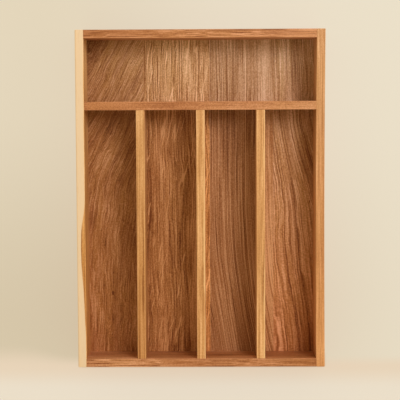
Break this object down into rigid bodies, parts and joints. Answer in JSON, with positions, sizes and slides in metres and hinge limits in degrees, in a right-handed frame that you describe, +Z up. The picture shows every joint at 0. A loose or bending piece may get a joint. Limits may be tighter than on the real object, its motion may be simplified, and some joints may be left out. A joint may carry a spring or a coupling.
{
  "type": "drawer organizer insert",
  "caption": "Shallow open wooden tray with one wide cross compartment and long parallel lanes that sorts small things in a drawer.",
  "frame": {"origin": "centre of the underside, on the surface that the rails' lower edges rest on", "axes": "+X to the right across the lanes, +Y along the lanes towards the wide compartment, +Z up out of the open top"},
  "size_m": [0.26, 0.354, 0.05],
  "materials": {
    "pale_sapwood": "satin oil",
    "amber_wood": "satin oil",
    "ruddy_wood": "satin oil",
    "golden_wood": "satin oil",
    "floor_wood": "satin oil",
    "dowel_wood": "bare"
  },
  "bodies": {
    "root": {"side_rail_left": "pale_sapwood", "side_rail_right": "amber_wood", "end_rail_back": "ruddy_wood", "end_rail_front": "ruddy_wood", "cross_divider": "ruddy_wood", "lane_divider_left": "golden_wood", "lane_divider_middle": "golden_wood", "lane_divider_right": "golden_wood", "floor_board_1": "floor_wood", "floor_board_2": "floor_wood", "floor_board_3": "floor_wood", "floor_board_4": "floor_wood", "corner_dowels": "dowel_wood", "cross_divider_dowels": "dowel_wood", "lane_divider_dowels": "dowel_wood"}
  },
  "joints": []
}
